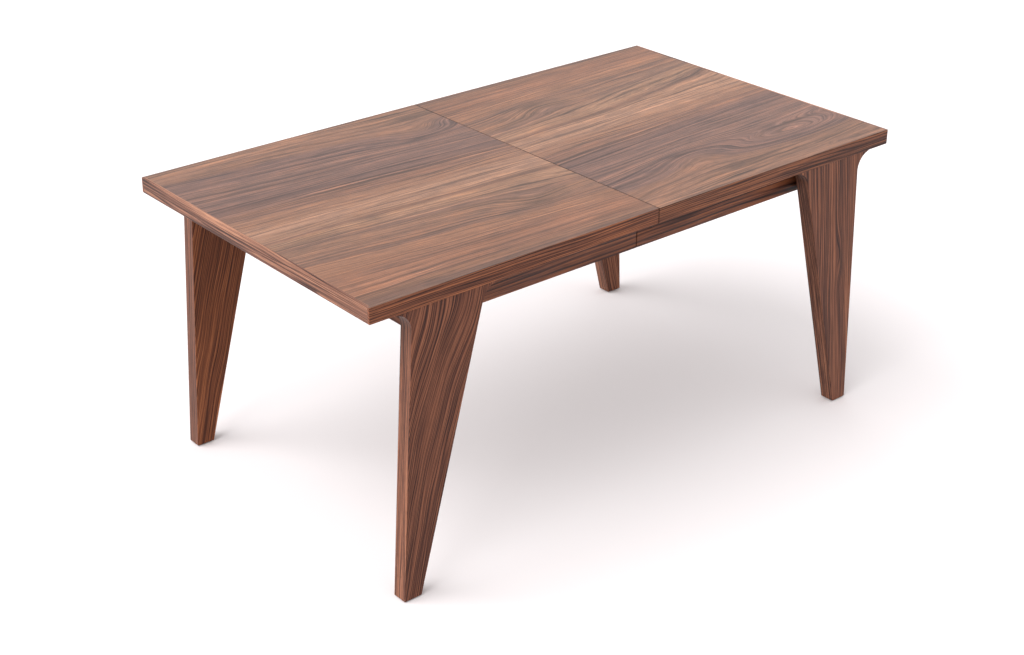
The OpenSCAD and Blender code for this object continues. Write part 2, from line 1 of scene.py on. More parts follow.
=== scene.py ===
import json
import math
import bmesh
import bpy
from mathutils import Euler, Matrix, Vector


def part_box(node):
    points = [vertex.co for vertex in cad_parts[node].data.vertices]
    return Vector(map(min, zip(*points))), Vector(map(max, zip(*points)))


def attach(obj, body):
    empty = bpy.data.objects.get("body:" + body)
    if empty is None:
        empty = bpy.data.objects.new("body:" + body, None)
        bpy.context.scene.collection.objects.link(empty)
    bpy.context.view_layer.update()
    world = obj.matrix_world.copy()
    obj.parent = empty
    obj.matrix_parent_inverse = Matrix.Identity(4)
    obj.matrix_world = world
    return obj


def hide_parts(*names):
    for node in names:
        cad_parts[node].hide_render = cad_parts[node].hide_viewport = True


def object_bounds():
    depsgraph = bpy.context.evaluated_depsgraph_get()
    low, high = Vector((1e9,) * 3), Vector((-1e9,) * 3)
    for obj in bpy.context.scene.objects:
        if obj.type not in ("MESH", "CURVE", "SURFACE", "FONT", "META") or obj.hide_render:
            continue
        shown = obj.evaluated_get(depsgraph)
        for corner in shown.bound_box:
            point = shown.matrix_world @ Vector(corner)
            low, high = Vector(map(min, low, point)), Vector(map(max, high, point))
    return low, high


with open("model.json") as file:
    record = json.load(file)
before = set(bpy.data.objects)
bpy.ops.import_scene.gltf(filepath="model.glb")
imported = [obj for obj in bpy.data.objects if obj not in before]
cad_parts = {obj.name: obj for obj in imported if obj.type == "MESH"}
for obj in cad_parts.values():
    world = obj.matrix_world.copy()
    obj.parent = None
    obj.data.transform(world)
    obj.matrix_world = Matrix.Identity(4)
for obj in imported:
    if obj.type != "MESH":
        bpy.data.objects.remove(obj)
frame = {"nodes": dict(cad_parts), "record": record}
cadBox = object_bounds()
nodes = frame["nodes"]
bodyOf = {node: body for body, names in frame["record"]["behaviour"]["bodies"].items() for node in names}
slotOf = {row["node"]: row["material_slot"] for row in frame["record"]["subparts"]}
print("frame:", len(nodes), "nodes")


class Wire:
    # a node's output, so that shader sums read as sums
    def __init__(self, maker, socket):
        self.maker = maker
        self.socket = socket

    def sum(self, operation, first, second):
        return self.maker.node("ShaderNodeMath", {"operation": operation}, [first, second])

    def __add__(self, other):
        return self.sum("ADD", self, other)

    def __radd__(self, other):
        return self.sum("ADD", other, self)

    def __sub__(self, other):
        return self.sum("SUBTRACT", self, other)

    def __rsub__(self, other):
        return self.sum("SUBTRACT", other, self)

    def __mul__(self, other):
        return self.sum("MULTIPLY", self, other)

    def __truediv__(self, other):
        return self.sum("DIVIDE", self, other)

    def __pow__(self, other):
        return self.sum("POWER", self, other)


class NodeMaker:
    # adds nodes to a tree, of a material, of the sky or of the fittings
    def __init__(self, tree):
        self.tree = tree
        self.tree.nodes.clear()

    def node(self, kind, settings, sockets, output=0):
        made = self.tree.nodes.new(kind)
        for key, value in settings.items():
            if key == "stops":
                self.fillRamp(made.color_ramp, value)
            elif key == "interpolation":
                made.color_ramp.interpolation = value
            else:
                setattr(made, key, value)
        for key, value in (sockets.items() if isinstance(sockets, dict) else enumerate(sockets)):
            if isinstance(value, Wire):
                self.tree.links.new(value.socket, made.inputs[key])
            else:
                made.inputs[key].default_value = value
        return Wire(self, made.outputs[output]) if len(made.outputs) else None

    def fillRamp(self, ramp, stops):
        while len(ramp.elements) > 1:
            ramp.elements.remove(ramp.elements[0])
        for index, (place, value) in enumerate(stops):
            element = ramp.elements[0] if index == 0 else ramp.elements.new(place)
            element.position = place
            element.color = value if isinstance(value, tuple) else (value, value, value, 1)

    def noise(self, vector, scale, detail, roughness):
        stretched = self.node("ShaderNodeVectorMath", {"operation": "MULTIPLY"}, [vector, scale])
        return self.node("ShaderNodeTexNoise", {}, {"Vector": stretched, "Scale": 1.0, "Detail": detail,
                                                    "Roughness": roughness}, "Fac")

    def parts(self, vector):
        split = self.tree.nodes.new("ShaderNodeSeparateXYZ")
        self.tree.links.new(vector.socket, split.inputs[0])
        return [Wire(self, socket) for socket in split.outputs]

    def vector(self, x, y, z):
        return self.node("ShaderNodeCombineXYZ", {}, [x, y, z])

    def ramp(self, fac, stops, interpolation="EASE"):
        return self.node("ShaderNodeValToRGB", {"stops": stops, "interpolation": interpolation}, [fac])

    # how far through its year each ring is, from 0 to 1
    def yearOf(self, count):
        return self.node("ShaderNodeMath", {"operation": "FRACT"}, [count])


# the shadow line where the halves of the top meet, which reaches far past the table's sides
seam = {"halfWidth": 0.0020, "depth": 0.6, "reach": 9}
bumpStrength = 0.6


class Finish(NodeMaker):
    def __init__(self, name):
        self.material = bpy.data.materials.new(name)
        self.material.use_nodes = True
        super().__init__(self.material.node_tree)

    # places in the wood: x along the grain, z across the board's face, y into it
    def grainSpace(self, turn, centre, cut=0.0):
        place = self.node("ShaderNodeTexCoord", {}, {}, "Object")
        shift = Vector((cut, 0, 0)) - Euler(turn).to_matrix() @ Vector(centre)
        return self.node("ShaderNodeMapping", {}, {"Vector": place, "Rotation": turn, "Location": shift})

    # 1 at a place, falling to 0 over a size
    def hump(self, vector, place, size):
        away = self.node("ShaderNodeVectorMath", {"operation": "SUBTRACT"}, [vector, place])
        away = self.node("ShaderNodeVectorMath", {"operation": "DIVIDE"}, [away, size])
        square = self.node("ShaderNodeVectorMath", {"operation": "DOT_PRODUCT"}, [away, away], "Value")
        return self.node("ShaderNodeMath", {"operation": "EXPONENT"}, [square * -1.0])

    def seamShadow(self):
        place = self.node("ShaderNodeTexCoord", {}, {}, "Object")
        return self.hump(place, (0, 0, 0), (seam["halfWidth"], seam["reach"], seam["reach"])) * seam["depth"]

    def mix(self, fac, first, second, blend="MIX"):
        return self.node("ShaderNodeMix", {"data_type": "RGBA", "blend_type": blend},
                         {0: fac, 6: first, 7: second}, 2)

    def times(self, first, second, fac=1.0):
        return self.mix(fac, first, second, "MULTIPLY")

    def surface(self, colour, roughness, bump=None, height=0.0, specular=0.5, metallic=0.0):
        settings = {"Base Color": colour, "Roughness": roughness, "Metallic": metallic,
                    "Specular IOR Level": specular}
        if bump is not None:
            settings["Normal"] = self.node("ShaderNodeBump", {}, {
                "Height": bump, "Distance": height, "Strength": bumpStrength}, "Normal")
        shader = self.node("ShaderNodeBsdfPrincipled", {}, settings)
        self.node("ShaderNodeOutputMaterial", {}, {"Surface": shader})
        return self.material


def colour(red, green, blue):
    # from 0-255 display values to the linear values that shaders take
    return tuple((c / 255 / 12.92) if c / 255 <= 0.04045 else ((c / 255 + 0.055) / 1.055) ** 2.4
                 for c in (red, green, blue)) + (1,)


walnut = {
    "tint": (0.93, 0.705, 0.62), "roughness": 0.42, "roughSpread": 0.15, "specular": 0.2, "bump": 0.0002,
    "pith": (0.015, 0.09),  # the tree's heart, beside the board and under its face
    "wander": 0.030,  # how far the grain strays from straight
    "rings": 210, "ringJitter": 7.0,  # growth rings in a metre
    "late": [(0.0, 0.62), (0.45, 0.54), (0.84, 0.22), (0.93, 0.28), (1.0, 0.62)],  # dark wood late in a year
    # each noise: scale along the grain, across it and into the wood, then detail and roughness
    "wanderNoise": ((2.6, 8, 8), 2.0, 0.5), "broad": ((0.9, 34, 1), 2.0, 0.5),
    "line": ((1.9, 210, 1), 3.0, 0.68), "fine": ((5, 640, 60), 2.0, 0.6),
    "fibre": ((24, 1200, 1200), 1.0, 0.5),
    "shares": {"broad": 0.14, "line": 0.38, "fine": 0.28, "late": 0.20},
    "contrast": 2.9, "middle": 0.49,
    "shades": [(0.28, (58, 34, 27)), (0.42, (98, 65, 53)), (0.50, (127, 88, 72)), (0.58, (150, 107, 86)),
               (0.72, (190, 140, 112))],
    "fibreShades": [(0.36, 0.66), (0.50, 1.0)], "fibreShare": 0.8,
    "bends": [], "marks": [],  # place, size and strength of each swirl and each dark mark
}


# a board's own centre is cut metres along the log, so that no two boards match
def solidWalnut(name, turn, centre, cut, **changes):
    look = {**walnut, **changes}
    f = Finish(name)
    place = f.grainSpace(turn, centre, cut)
    x, y, z = f.parts(place)
    wander = f.noise(place, *look["wanderNoise"])
    across = z - look["pith"][0] + (wander - 0.5) * look["wander"]
    for spot, size, lift in look["bends"]:
        across = across + f.hump(place, (spot[0] + cut, 0, spot[1]), (size[0], 1, size[1])) * lift
    depth = y + look["pith"][1]
    ring = (across * across + depth * depth) ** 0.5
    grain = f.vector(x, ring, 0.0)
    broad = f.noise(grain, *look["broad"])
    line = f.noise(grain, *look["line"])
    fine = f.noise(f.vector(x, ring, y), *look["fine"])
    fibre = f.noise(place, *look["fibre"])
    late = f.ramp(f.yearOf(ring * look["rings"] + (broad - 0.5) * look["ringJitter"]), look["late"])
    share = look["shares"]
    figure = broad * share["broad"] + line * share["line"] + fine * share["fine"] + late * share["late"]
    figure = (figure - look["middle"]) * look["contrast"] + 0.5
    tint = f.ramp(figure, [(at, colour(*shade)) for at, shade in look["shades"]], "LINEAR")
    tint = f.times(tint, f.ramp(fibre, look["fibreShades"]), look["fibreShare"])
    shade = 1.0
    for spot, size, darkening in look["marks"]:
        shade = shade - f.hump(place, (spot[0] + cut, 0, spot[1]), (size[0], 1, size[1])) * darkening
    shade = shade - f.seamShadow()
    tint = f.times(tint, f.vector(shade, shade, shade))
    tint = f.times(tint, (*look["tint"], 1))
    rough = look["roughness"] + (fine - 0.5) * look["roughSpread"]
    return f.surface(tint, rough, fibre * 0.5 + fine * 0.5, look["bump"], look["specular"])


# the top's veneer, laid as one sheet on each half
sheet = {
    "tint": (0.725, 0.595, 0.508), "roughness": 0.38, "roughSpread": 0.12, "specular": 0.35, "bump": 0.00012,
    "bands": [  # place across the sheet and shade, at its outer end
        (-0.460, (140, 112, 100)), (-0.425, (132, 104, 94)), (-0.408, (150, 116, 98)),
        (-0.385, (166, 125, 105)), (-0.330, (168, 126, 105)), (-0.300, (158, 120, 102)),
        (-0.265, (176, 134, 111)), (-0.225, (172, 132, 110)), (-0.208, (142, 112, 100)),
        (-0.185, (156, 122, 106)), (-0.130, (160, 127, 110)), (-0.118, (146, 116, 104)),
        (-0.095, (170, 137, 118)), (-0.078, (172, 140, 120)), (-0.062, (148, 116, 102)),
        (-0.050, (182, 147, 127)), (-0.015, (190, 154, 134)), (0.018, (184, 148, 128)),
        (0.030, (172, 136, 117)), (0.075, (170, 133, 114)), (0.086, (140, 110, 100)),
        (0.105, (160, 124, 108)), (0.128, (146, 116, 108)), (0.145, (132, 106, 102)),
        (0.200, (144, 116, 110)), (0.285, (148, 119, 112)), (0.320, (144, 116, 111)),
        (0.360, (140, 113, 108)), (0.378, (156, 123, 108)), (0.430, (168, 133, 115)),
        (0.460, (160, 126, 110))],
    "outerEnd": 0.8, "lean": 0.9,  # the grain leans away from the outer end by these slopes across the sheet
    "slopes": [(-0.45, 0.02), (-0.35, 0.06), (-0.25, 0.14), (-0.17, 0.11), (-0.09, 0.05), (0.0, 0.035),
               (0.08, 0.075), (0.17, 0.04), (0.27, 0.14), (0.34, 0.09), (0.42, 0.01)],
    "waver": 0.030, "waverNoise": ((2.4, 11, 1), 3.0, 0.5),
    "swirls": [  # place, size, lift
        ((-0.10, 0.275), (0.13, 0.060), 0.050), ((-0.175, -0.235), (0.10, 0.050), 0.030),
        ((0.24, 0.300), (0.32, 0.055), -0.110), ((-0.33, 0.02), (0.20, 0.04), 0.006)],
    "marks": [  # place, size, darkening
        ((-0.173, -0.247), (0.045, 0.022), 0.16), ((-0.09, -0.098), (0.11, 0.014), 0.14),
        ((-0.033, -0.130), (0.06, 0.020), -0.12), ((0.25, 0.257), (0.09, 0.006), 0.42),
        ((-0.06, 0.385), (0.10, 0.018), 0.16), ((-0.02, -0.315), (0.05, 0.020), 0.14),
        ((-0.12, -0.405), (0.20, 0.014), 0.16), ((-0.55, 0.365), (0.20, 0.012), 0.08),
        ((-0.02, -0.085), (0.12, 0.006), -0.12), ((-0.14, 0.245), (0.05, 0.010), 0.20),
        ((0.05, 0.410), (0.35, 0.050), 0.08)],
    "markStrength": 1.6,
    "line": ((1.3, 75, 1), 3.0, 0.68), "fine": ((3.5, 260, 1), 3.0, 0.7), "streak": ((1.8, 150, 1), 2.0, 0.6),
    "fibre": ((14, 800, 1), 2.0, 0.6), "pore": ((45, 1500, 1), 1.0, 0.5), "patch": ((9, 30, 1), 3.0, 0.6),
    "lineTints": [(0.32, (0.54, 0.55, 0.60, 1)), (0.46, (0.94, 0.94, 0.95, 1)), (0.54, (1.04, 1.03, 1.01, 1)),
                  (0.68, (1.34, 1.26, 1.20, 1))],
    "fineShades": [(0.30, 0.54), (0.44, 0.91), (0.56, 1.07), (0.70, 1.40)],
    "streakShades": [(0.37, 0.66), (0.46, 1.0), (0.60, 1.03), (0.70, 1.20)],
    "patchTints": [(0.30, (0.80, 0.83, 0.88, 1)), (0.50, (1, 1, 1, 1)), (0.70, (1.16, 1.10, 1.02, 1))],
    "fibreShades": [(0.30, 0.80), (0.70, 1.18)], "poreShades": [(0.36, 0.66), (0.48, 1.0)], "poreShare": 0.7,
    "rings": 110, "ringJitter": 6.0, "ringNoise": ((0.8, 24, 1), 2.0, 0.5),
    "late": [(0.0, 1.12), (0.4, 1.03), (0.80, 0.62), (0.90, 0.72), (1.0, 1.12)],
    # where across the sheet its rings show as dark lines, and how they come and go
    "lined": [(0.0, 0.35), (0.10, 0.35), (0.50, 0.45), (0.62, 1.0), (0.86, 1.0), (0.93, 0.5)],
    "veins": [(0.40, 0.25), (0.58, 1.0)], "veinNoise": ((1.6, 22, 1), 2.0, 0.5),
}


def veneer(name, shift, flip, turn=0.0):
    f = Finish(name)
    place = f.node("ShaderNodeMapping", {}, {
        "Vector": f.node("ShaderNodeTexCoord", {}, {}, "Object"), "Location": (*shift, 0),
        "Rotation": (0, 0, turn), "Scale": (1, flip, 0)})
    x, y = f.parts(place)[:2]
    start = sheet["bands"][0][0]
    width = sheet["bands"][-1][0] - start

    def across(stops):
        return [((at - start) / width, value) for at, value in stops]

    fac = (y - start) / width
    slope = f.ramp(fac, across(sheet["slopes"]), "B_SPLINE")
    grain = y + slope * (x + sheet["outerEnd"]) * sheet["lean"]
    for (atX, atY), (overX, overY), lift in sheet["swirls"]:
        grain = grain + f.hump(place, (atX, atY, 0), (overX, overY, 1)) * lift
    grain = grain + (f.noise(place, *sheet["waverNoise"]) - 0.5) * sheet["waver"]
    tint = f.ramp((grain - start) / width, across([(at, colour(*shade)) for at, shade in sheet["bands"]]))
    along = f.vector(x, grain, 0.0)
    line = f.noise(along, *sheet["line"])
    fine = f.noise(along, *sheet["fine"])
    streak = f.noise(along, *sheet["streak"])
    fibre = f.noise(along, *sheet["fibre"])
    pore = f.noise(along, *sheet["pore"])
    patch = f.noise(place, *sheet["patch"])
    jitter = (f.noise(along, *sheet["ringNoise"]) - 0.5) * sheet["ringJitter"]
    late = f.ramp(f.yearOf(grain * sheet["rings"] + jitter), sheet["late"])
    veined = f.ramp(fac, sheet["lined"]) * f.ramp(f.noise(along, *sheet["veinNoise"]), sheet["veins"])
    tint = f.times(tint, f.ramp(line, sheet["lineTints"]))
    tint = f.mix(veined, tint, f.times(tint, late))
    tint = f.times(tint, f.ramp(fine, sheet["fineShades"]))
    tint = f.times(tint, f.ramp(streak, sheet["streakShades"]))
    tint = f.times(tint, f.ramp(patch, sheet["patchTints"]))
    tint = f.times(tint, f.ramp(fibre, sheet["fibreShades"]))
    tint = f.times(tint, f.ramp(pore, sheet["poreShades"]), sheet["poreShare"])
    shade = 1.0
    for (atX, atY), (overX, overY), darkening in sheet["marks"]:
        shade = shade - f.hump(place, (atX, atY, 0), (overX, overY, 1)) * (darkening * sheet["markStrength"])
    shade = shade - f.seamShadow()
    tint = f.times(tint, f.vector(shade, shade, shade))
    tint = f.times(tint, (*sheet["tint"], 1))
    rough = sheet["roughness"] + (fine - 0.5) * sheet["roughSpread"]
    return f.surface(tint, rough, pore * 0.5 + fibre * 0.5, sheet["bump"], sheet["specular"])


blots = {"noise": ((60, 60, 60), 4.0, 0.6), "shades": [(0.3, 0.82), (0.7, 1.1)], "roughSpread": 0.15,
         "bump": 0.00005}


def plain(name, tint, roughness, metallic=0.0):
    f = Finish(name)
    blot = f.noise(f.grainSpace((0, 0, 0), (0, 0, 0)), *blots["noise"])
    tint = f.times(colour(*tint), f.ramp(blot, blots["shades"]))
    rough = roughness + (blot - 0.5) * blots["roughSpread"]
    return f.surface(tint, rough, blot, blots["bump"], metallic=metallic)


def meshPiece(name, bm, material, body, slot, *stoodFor):
    mesh = bpy.data.meshes.new(name)
    bm.to_mesh(mesh)
    bm.free()
    mesh.materials.append(material)
    piece = bpy.data.objects.new(name, mesh)
    bpy.context.scene.collection.objects.link(piece)
    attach(piece, body)
    if stoodFor:
        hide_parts(*stoodFor)
    return piece


softAngle = math.radians(25)  # faces that meet at less are one smooth surface


def easeEdges(bm, glued, crisp=(), crispShare=0.0):
    # marks the edges to round on a flat-sided piece: none on glued faces, a share on crisp ones
    names = {"x": Vector((1, 0, 0)), "y": Vector((0, 1, 0)), "z": Vector((0, 0, 1))}

    def looks(edge, ways):
        return any(face.normal.dot(names[way[1]] * (1 if way[0] == "+" else -1)) > 0.99
                   for face in edge.link_faces for way in ways)

    bm.normal_update()
    weight = bm.edges.layers.float.new("bevel_weight_edge")
    for edge in bm.edges:
        sharp = edge.calc_face_angle(0) >= softAngle
        eased = sharp and not looks(edge, glued)
        if eased:
            edge[weight] = crispShare if looks(edge, crisp) else 1.0
        edge.smooth = eased or not sharp


def addEase(piece, width, segments=3):
    bevel = piece.modifiers.new("ease", "BEVEL")
    bevel.width = width
    bevel.segments = segments
    bevel.limit_method = "WEIGHT"
    bevel.harden_normals = True
    for polygon in piece.data.polygons:
        polygon.use_smooth = True


def blockMesh(low, high):
    bm = bmesh.new()
    bmesh.ops.create_cube(bm, size=1)
    for vert in bm.verts:
        for axis in range(3):
            vert.co[axis] = low[axis] if vert.co[axis] < 0 else high[axis]
    return bm


edging = {"ease": 0.0012, "crispShare": 0.35}


def strip(node, material, glued, crisp=(), topWood=None):
    low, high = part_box(node)
    bm = blockMesh(low, high)
    easeEdges(bm, glued, crisp, edging["crispShare"])
    for face in bm.faces:
        face.material_index = 1 if topWood and face.normal.z > 0.9 else 0
    piece = meshPiece(node + "_wood", bm, material, bodyOf[node], slotOf[node], node)
    if topWood:
        piece.data.materials.append(topWood)
    addEase(piece, edging["ease"])


# where each wood's grain is centred: the top's edges in the middle of their height, and the frame under them
woodPlace = {"outEnd": 0.8, "front": -0.45, "edgeHeight": 0.716, "railHeight": 0.656, "leafHeight": 0.65,
             "runnerHeight": 0.66}
alongY = (0, 0, -math.pi / 2)
edgeShades = [(0.28, (54, 30, 23)), (0.42, (98, 64, 51)), (0.50, (130, 89, 71)), (0.58, (156, 109, 84)),
              (0.72, (194, 136, 100))]
# the right half's sheet is turned over and shifted along, so that the figure doesn't repeat
for side, (shift, flip) in {"left": ((0, 0), 1), "right": ((-0.406, 0), -1)}.items():
    out = -1 if side == "left" else 1
    outward, inward = ("-x", "+x") if side == "left" else ("+x", "-x")
    topWood = veneer(side + "Veneer", shift, flip)
    longEdge = (woodPlace["outEnd"] / 2 * out, woodPlace["front"], woodPlace["edgeHeight"])
    endEdge = (woodPlace["outEnd"] * out, 0, woodPlace["edgeHeight"])
    longWood = solidWalnut(side + "LongEdge", (0, 0, 0), longEdge, 3.0 + out,
                           pith=(0.06, 0.03), wander=0.014, shades=edgeShades,
                           tint=(0.98, 0.76, 0.68) if side == "left" else (0.82, 0.66, 0.61))
    endWood = solidWalnut(side + "EndEdge", alongY, endEdge, 7.0 + out,
                          pith=(0.07, 0.05), wander=0.008, tint=(1.05, 0.99, 1.00), rings=150)
    strip(side + "_panel", topWood, ("+x", "-x", "+y", "-y"))
    strip(side + "_front_lipping", longWood, ("+y",), (inward,), topWood=topWood)
    strip(side + "_back_lipping", longWood, ("-y",), (inward,), topWood=topWood)
    strip(side + "_end_lipping", endWood, (inward, "+y", "-y"))
    strip(side + "_joint_lipping", endWood, (outward, "+y", "-y"), (inward,), topWood=topWood)
print("tops done")

leg = {"topWidth": 0.194, "footWidth": 0.046, "setback": 0.107, "splay": 0.0355, "tip": 0.0015,
       "cove": 0.044, "nose": 0.0075, "coveSteps": 24, "ease": 0.0008,
       "grainLean": math.radians(14), "grainCentre": (0.64, 0.35),
       "side": {"tint": (0.82, 0.66, 0.60), "pith": (0.5, 0.0), "wander": 0.010, "rings": 170}, "sideCut": 20}


def arc(centre, radius, start, stop, steps):
    return [(centre[0] + radius * math.cos(start + (stop - start) * i / steps),
             centre[1] + radius * math.sin(start + (stop - start) * i / steps)) for i in range(steps + 1)]


def legOutline(foot, top):
    # each point's distance from the end of the top towards the middle, and its height
    footU = leg["setback"] - leg["splay"]
    lean = math.atan(leg["splay"] / top)
    rake = math.atan((leg["topWidth"] - leg["footWidth"] + leg["splay"]) / top)
    cove = leg["cove"]
    coveZ = top - leg["tip"] - cove
    endCove = (footU + (coveZ * math.sin(lean) - cove) / math.cos(lean), coveZ)
    midCove = (footU + leg["footWidth"] + (cove + coveZ * math.sin(rake)) / math.cos(rake), coveZ)
    stop = math.acos(leg["nose"] / cove)
    outline = [(footU + foot * math.tan(lean), foot)]
    outline += arc(endCove, cove, -lean, stop, leg["coveSteps"])
    outline += [(endCove[0] + leg["nose"], top), (midCove[0] - leg["nose"], top)]
    outline += arc(midCove, cove, math.pi - stop, math.pi - rake, leg["coveSteps"])
    outline += [(footU + leg["footWidth"] + foot * math.tan(rake), foot)]
    return outline


def makeLeg(node, side, cut, grainLean=leg["grainLean"], **changes):
    low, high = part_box(node)
    endX = cadBox[1][0]
    bm = bmesh.new()
    outline = [(side * (endX - u), z) for u, z in legOutline(low[2], high[2])]
    near = [bm.verts.new((x, low[1], z)) for x, z in outline]
    far = [bm.verts.new((x, high[1], z)) for x, z in outline]
    bm.faces.new(near)
    bm.faces.new(far[::-1])
    for i in range(len(outline)):
        j = (i + 1) % len(outline)
        bm.faces.new((near[i], far[i], far[j], near[j]))
    bmesh.ops.recalc_face_normals(bm, faces=bm.faces)
    easeEdges(bm, ("+z",))
    for face in bm.faces:
        face.material_index = 0 if abs(face.normal.y) > 0.5 else 1
    lean = math.pi / 2 + side * grainLean
    centre = (side * leg["grainCentre"][0], (low[1] + high[1]) / 2, leg["grainCentre"][1])
    material = solidWalnut(node + "Wood", (0, lean, 0), centre, cut, **changes)
    narrow = solidWalnut(node + "SideWood", (math.pi / 2, 0, math.pi / 2), centre, cut + leg["sideCut"],
                         **leg["side"])
    piece = meshPiece(node + "_wood", bm, material, bodyOf[node], slotOf[node], node)
    piece.data.materials.append(narrow)
    addEase(piece, leg["ease"])


makeLeg("left_front_leg", -1, 1.0, pith=(-0.13, 0.05), wander=0.035, rings=200, tint=(0.86, 0.65, 0.59),
        bends=[((0.34, -0.02), (0.14, 0.10), 0.045)], marks=[((0.25, 0.02), (0.05, 0.02), 0.18)])
# the back left leg's lighter, redder tint is painted bounce light: it stands in for the reddish light that
# the wood throws onto this leg in the shade under the table
makeLeg("left_back_leg", -1, 2.0, pith=(0.12, 0.06), tint=(1.18, 0.80, 0.56), contrast=2.2)
makeLeg("right_front_leg", 1, 3.0, math.radians(7), pith=(0.13, 0.06),
        bends=[((0.079, -0.030), (0.07, 0.016), 0.014)],
        marks=[((0.079, -0.028), (0.030, 0.0040), 0.5), ((0.045, -0.034), (0.035, 0.007), 0.3)])
makeLeg("right_back_leg", 1, 4.0, pith=(-0.12, 0.06))
print("legs done")


def islands(node):
    # the low and high corners of each separate solid of a node
    bm = bmesh.new()
    bm.from_mesh(nodes[node].data)
    bmesh.ops.remove_doubles(bm, verts=bm.verts, dist=1e-6)
    left, found = set(bm.verts), []
    while left:
        spread, reached = [left.pop()], []
        while spread:
            vert = spread.pop()
            reached.append(vert.co.copy())
            for edge in vert.link_edges:
                other = edge.other_vert(vert)
                if other in left:
                    left.remove(other)
                    spread.append(other)
        found.append(([min(co[i] for co in reached) for i in range(3)],
                      [max(co[i] for co in reached) for i in range(3)]))
    bm.free()
    return sorted(found)


# edges are eased where they turn outwards by more than an angle and are longer than a length
board = {"ease": 0.0008, "shortest": 0.012, "turn": math.radians(60), "flat": math.radians(0.5)}


def easedBoards(node, material, topWood=None):
    bm = bmesh.new()
    bm.from_mesh(nodes[node].data)
    bmesh.ops.remove_doubles(bm, verts=bm.verts, dist=1e-6)
    bmesh.ops.dissolve_limit(bm, angle_limit=board["flat"], verts=bm.verts, edges=bm.edges)
    bm.normal_update()
    weight = bm.edges.layers.float.new("bevel_weight_edge")
    for edge in bm.edges:
        bent = edge.calc_face_angle_signed(0)
        eased = bent > board["turn"] and edge.calc_length() > board["shortest"]
        edge[weight] = 1.0 if eased else 0.0
        edge.smooth = eased or abs(bent) < softAngle
    for face in bm.faces:
        face.material_index = 1 if topWood and face.normal.z > 0.9 else 0
    piece = meshPiece(node + "_wood", bm, material, bodyOf[node], slotOf[node], node)
    if topWood:
        piece.data.materials.append(topWood)
    addEase(piece, board["ease"], 2)


beechLook = {"tint": (1.0, 1.0, 1.0), "specular": 0.35, "roughness": 0.5, "rings": 260, "pith": (0.02, 0.3),
             "shades": [(0.28, (176, 134, 98)), (0.42, (196, 154, 116)), (0.50, (206, 166, 128)),
                        (0.58, (214, 176, 138)), (0.72, (224, 188, 152))]}
rails = (0, 0, woodPlace["railHeight"])
runners = (0, 0, woodPlace["runnerHeight"])
apronWood = solidWalnut("apronWood", (0, 0, 0), rails, 9.0, pith=(0.10, 0.05), wander=0.016,
                        shades=edgeShades, tint=(0.87, 0.64, 0.56))
railWood = solidWalnut("railWood", alongY, rails, 11.0, pith=(0.10, 0.05))
leafWood = solidWalnut("leafWood", alongY, (0, 0, woodPlace["leafHeight"]), 13.0, pith=(0.10, 0.06))
leafSheet = veneer("leafVeneer", (0, 0), 1, -math.pi / 2)
beechAlongX = solidWalnut("beechAlongX", (0, 0, 0), runners, 15.0, **beechLook)
beechAlongY = solidWalnut("beechAlongY", alongY, runners, 17.0, **beechLook)
blockWood = solidWalnut("blockWood", (0, math.pi / 2, 0), runners, 19.0, pith=(0.02, 0.2))

for half in ("left", "right"):
    for row in ("front", "back"):
        easedBoards(f"{half}_{row}_apron", apronWood)
        easedBoards(f"{half}_{row}_runner", beechAlongX)
    easedBoards(half + "_end_rail", railWood)
    easedBoards(half + "_leg_blocks", blockWood)
    easedBoards(half + "_glue_blocks", beechAlongY)
    easedBoards(half + "_leaf_bearer", beechAlongY)
for row in ("front", "back"):
    easedBoards(row + "_centre_runner", beechAlongX)
easedBoards("leaf_panel", leafWood, topWood=leafSheet)
easedBoards("leaf_edge_lippings", leafWood, topWood=leafSheet)
easedBoards("leaf_joint_lippings", leafWood, topWood=leafSheet)
print("boards done")


# screws, bolts, pins and feet: a turned part and its thread, set at each place along its aim
class Growth(NodeMaker):
    def __init__(self, name, given):
        super().__init__(bpy.data.node_groups.new(name, "GeometryNodeTree"))
        self.tree.interface.new_socket(name="Geometry", in_out="INPUT", socket_type="NodeSocketGeometry")
        self.tree.interface.new_socket(name="Geometry", in_out="OUTPUT", socket_type="NodeSocketGeometry")
        self.identifiers = {}
        for label, kind in given.items():
            made = self.tree.interface.new_socket(name=label, in_out="INPUT", socket_type="NodeSocket" + kind)
            self.identifiers[label] = made.identifier
        self.given = self.tree.nodes.new("NodeGroupInput")

    def value(self, label):
        return Wire(self, self.given.outputs[label])

    def join(self, *pieces):
        made = self.tree.nodes.new("GeometryNodeJoinGeometry")
        for piece in pieces:
            self.tree.links.new(piece.socket, made.inputs[0])
        return Wire(self, made.outputs[0])


fitting = {"threadSteps": 14, "ridgeSides": 3,
           "spin": 6.28, "seed": 3}  # each is turned about its axis by a random part of spin
g = Growth("fittings", {
    "Part": "Object", "Finish": "Material", "Thread start": "Float", "Thread length": "Float",
    "Thread radius": "Float", "Ridge": "Float", "Pitch": "Float", "Spin": "Float", "Seed": "Int"})
core = g.value("Thread radius") - g.value("Ridge")
spiral = g.node("GeometryNodeCurveSpiral", {}, {
    "Resolution": fitting["threadSteps"], "Rotations": g.value("Thread length") / g.value("Pitch"),
    "Start Radius": core, "End Radius": core, "Height": g.value("Thread length")})
ridge = g.node("GeometryNodeCurvePrimitiveCircle", {}, {"Resolution": fitting["ridgeSides"],
                                                       "Radius": g.value("Ridge")})
thread = g.node("GeometryNodeCurveToMesh", {}, {"Curve": spiral, "Profile Curve": ridge, "Fill Caps": True})
thread = g.node("GeometryNodeTransform", {}, {"Geometry": thread,
                                              "Translation": g.vector(0.0, 0.0, g.value("Thread start"))})
part = g.node("GeometryNodeObjectInfo", {}, {"Object": g.value("Part")}, "Geometry")
